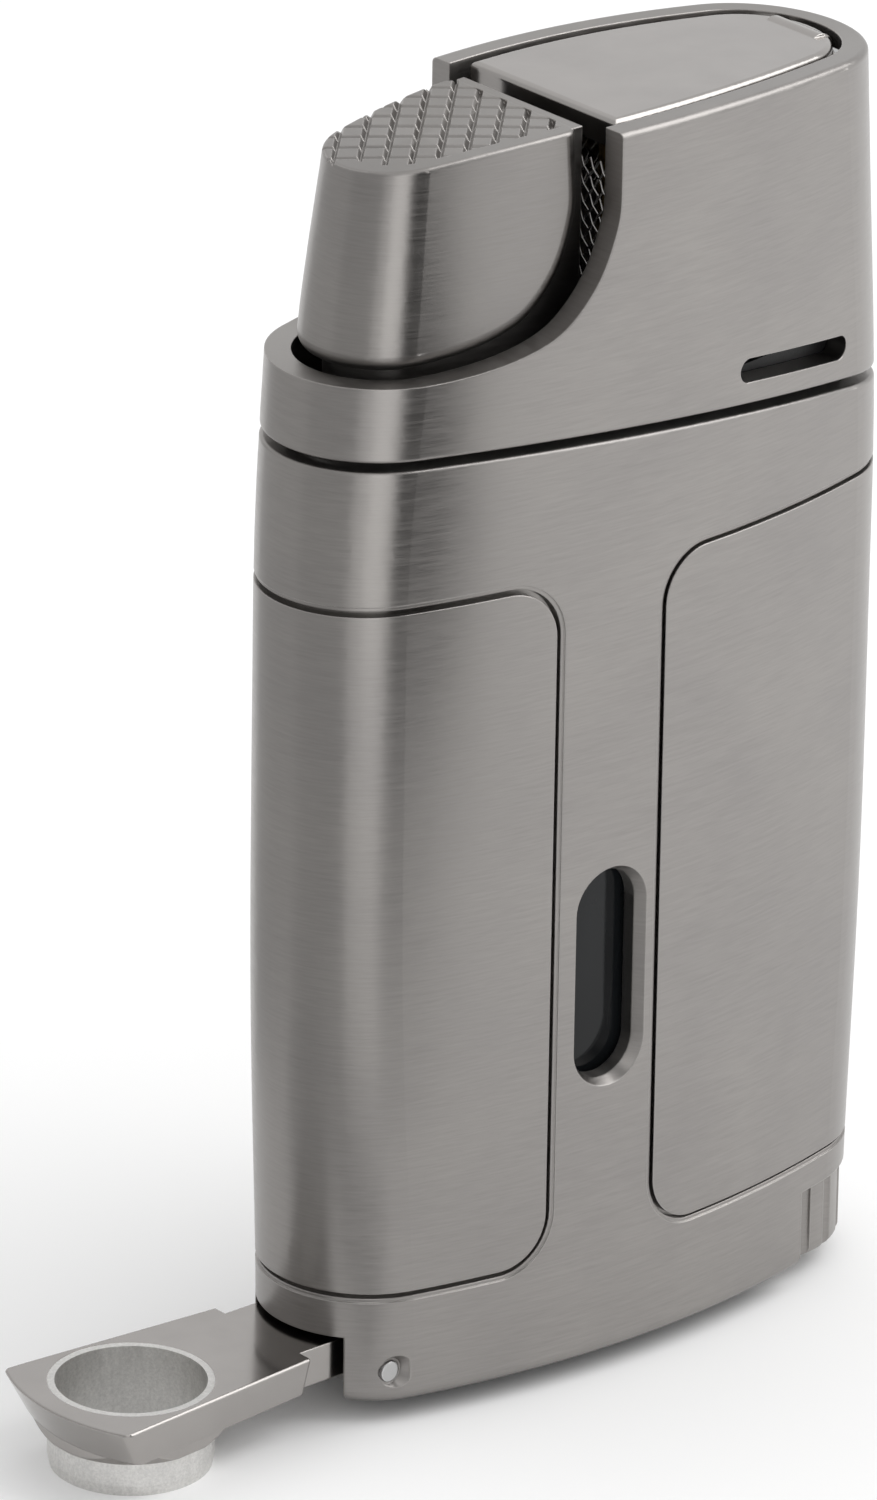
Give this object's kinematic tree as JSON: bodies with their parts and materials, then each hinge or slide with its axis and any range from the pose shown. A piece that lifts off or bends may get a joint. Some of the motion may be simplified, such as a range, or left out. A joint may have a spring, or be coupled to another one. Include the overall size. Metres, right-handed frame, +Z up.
{
  "type": "pocket torch lighter",
  "caption": "Pocket torch lighter with a knurled piezo trigger, a flip lid over twin jets, a fuel window, a flame wheel and a fold-out punch cutter.",
  "frame": {"origin": "centre of the bounding box on the plane of the lowest point, with the punch folded out", "axes": "+Z up towards the lid, +X from the punch towards the flame end, -Y is the fuel window side"},
  "size_m": [0.0555, 0.0156, 0.0716],
  "materials": {
    "case_metal": "fine horizontal brushing, gunmetal nickel",
    "panel_metal": "fine horizontal brushing, gunmetal nickel",
    "trigger_metal": "fine brushing, knurled top",
    "polished_metal": "polished gunmetal",
    "bright_steel": "turned bright steel",
    "steel": "plain steel",
    "brass": "plain brass",
    "zinc_casting": "cast zinc",
    "black_plastic": "matt black moulding",
    "black_mesh": "blackened wire mesh",
    "smoked_plastic": "smoked clear plastic",
    "rubber": "matt rubber"
  },
  "bodies": {
    "case": {"frame_housing": "case_metal", "left_side_panel": "panel_metal", "right_side_panel": "panel_metal", "base_block": "black_plastic", "head_shell": "case_metal", "lid_hinge_pin": "steel", "mesh_screen": "black_mesh", "burner_block": "zinc_casting", "burner_cover": "steel", "jet_nozzles": "brass", "spark_electrode": "steel", "lifter_bracket": "steel", "lifter_pin": "steel", "piezo_body": "black_plastic", "trigger_spring": "steel", "fuel_tank": "smoked_plastic", "tank_seal": "rubber", "tank_cap": "black_plastic", "inner_chassis": "black_plastic", "collar": "black_plastic", "gas_valve_body": "brass", "valve_lever_pin": "steel", "gas_pipe": "brass", "fill_valve_body": "brass", "fill_valve_seal": "rubber", "fill_valve_spring": "steel", "punch_pin": "steel", "base_screws": "steel", "cover_screws": "steel"},
    "trigger": {"trigger_button": "trigger_metal", "piezo_plunger": "black_plastic"},
    "lid": {"lid_plate": "polished_metal"},
    "lifter": {"lid_lifter": "steel"},
    "lever": {"valve_lever": "steel"},
    "stem": {"valve_stem": "brass"},
    "punch": {"punch_arm": "polished_metal", "punch_cutter": "bright_steel"},
    "wheel": {"flame_wheel": "case_metal", "adjust_spindle": "brass"},
    "filler": {"fill_valve_stem": "brass"}
  },
  "joints": [
    {"name": "trigger_press", "type": "slide", "parent": "case", "child": "trigger", "axis": [0, 0, -1], "range_m": [0, 0.004], "stiffness_N_per_m": 900, "springref_m": -0.004, "deforming": ["trigger_spring"]},
    {"name": "lid_open", "type": "hinge", "parent": "case", "child": "lid", "pos_m": [0.02332, 0, 0.07045], "axis": [0, 1, 0], "range_deg": [0, 56]},
    {"name": "lifter_rock", "type": "hinge", "parent": "case", "child": "lifter", "pos_m": [0.01893, 0.00375, 0.06745], "axis": [0, -1, 0], "range_deg": [0, 14]},
    {"name": "valve_lever_rock", "type": "hinge", "parent": "case", "child": "lever", "pos_m": [0.00822, 0, 0.05005], "axis": [0, -1, 0], "range_deg": [0, 12]},
    {"name": "valve_lift", "type": "slide", "parent": "case", "child": "stem", "axis": [0, 0, 1], "range_m": [0, 0.001]},
    {"name": "punch_fold", "type": "hinge", "parent": "case", "child": "punch", "pos_m": [-0.00834, 0, 0.00308], "axis": [0, -1, 0], "range_deg": [0, 180]},
    {"name": "flame_adjust", "type": "hinge", "parent": "case", "child": "wheel", "pos_m": [0.02133, 0, 0.00365], "axis": [0, 0, 1], "range_deg": [-135, 135]},
    {"name": "fill_valve_press", "type": "slide", "parent": "case", "child": "filler", "axis": [0, 0, 1], "range_m": [0, 0.0008], "stiffness_N_per_m": 600, "springref_m": -0.001, "deforming": ["fill_valve_spring"]}
  ],
  "couplings": [
    {"joint": "lid_open", "follows": "trigger_press", "rad_per_m": 244.22},
    {"joint": "lifter_rock", "follows": "trigger_press", "rad_per_m": 61.056},
    {"joint": "valve_lever_rock", "follows": "trigger_press", "rad_per_m": 52.334},
    {"joint": "valve_lift", "follows": "trigger_press", "ratio": 0.2499}
  ]
}
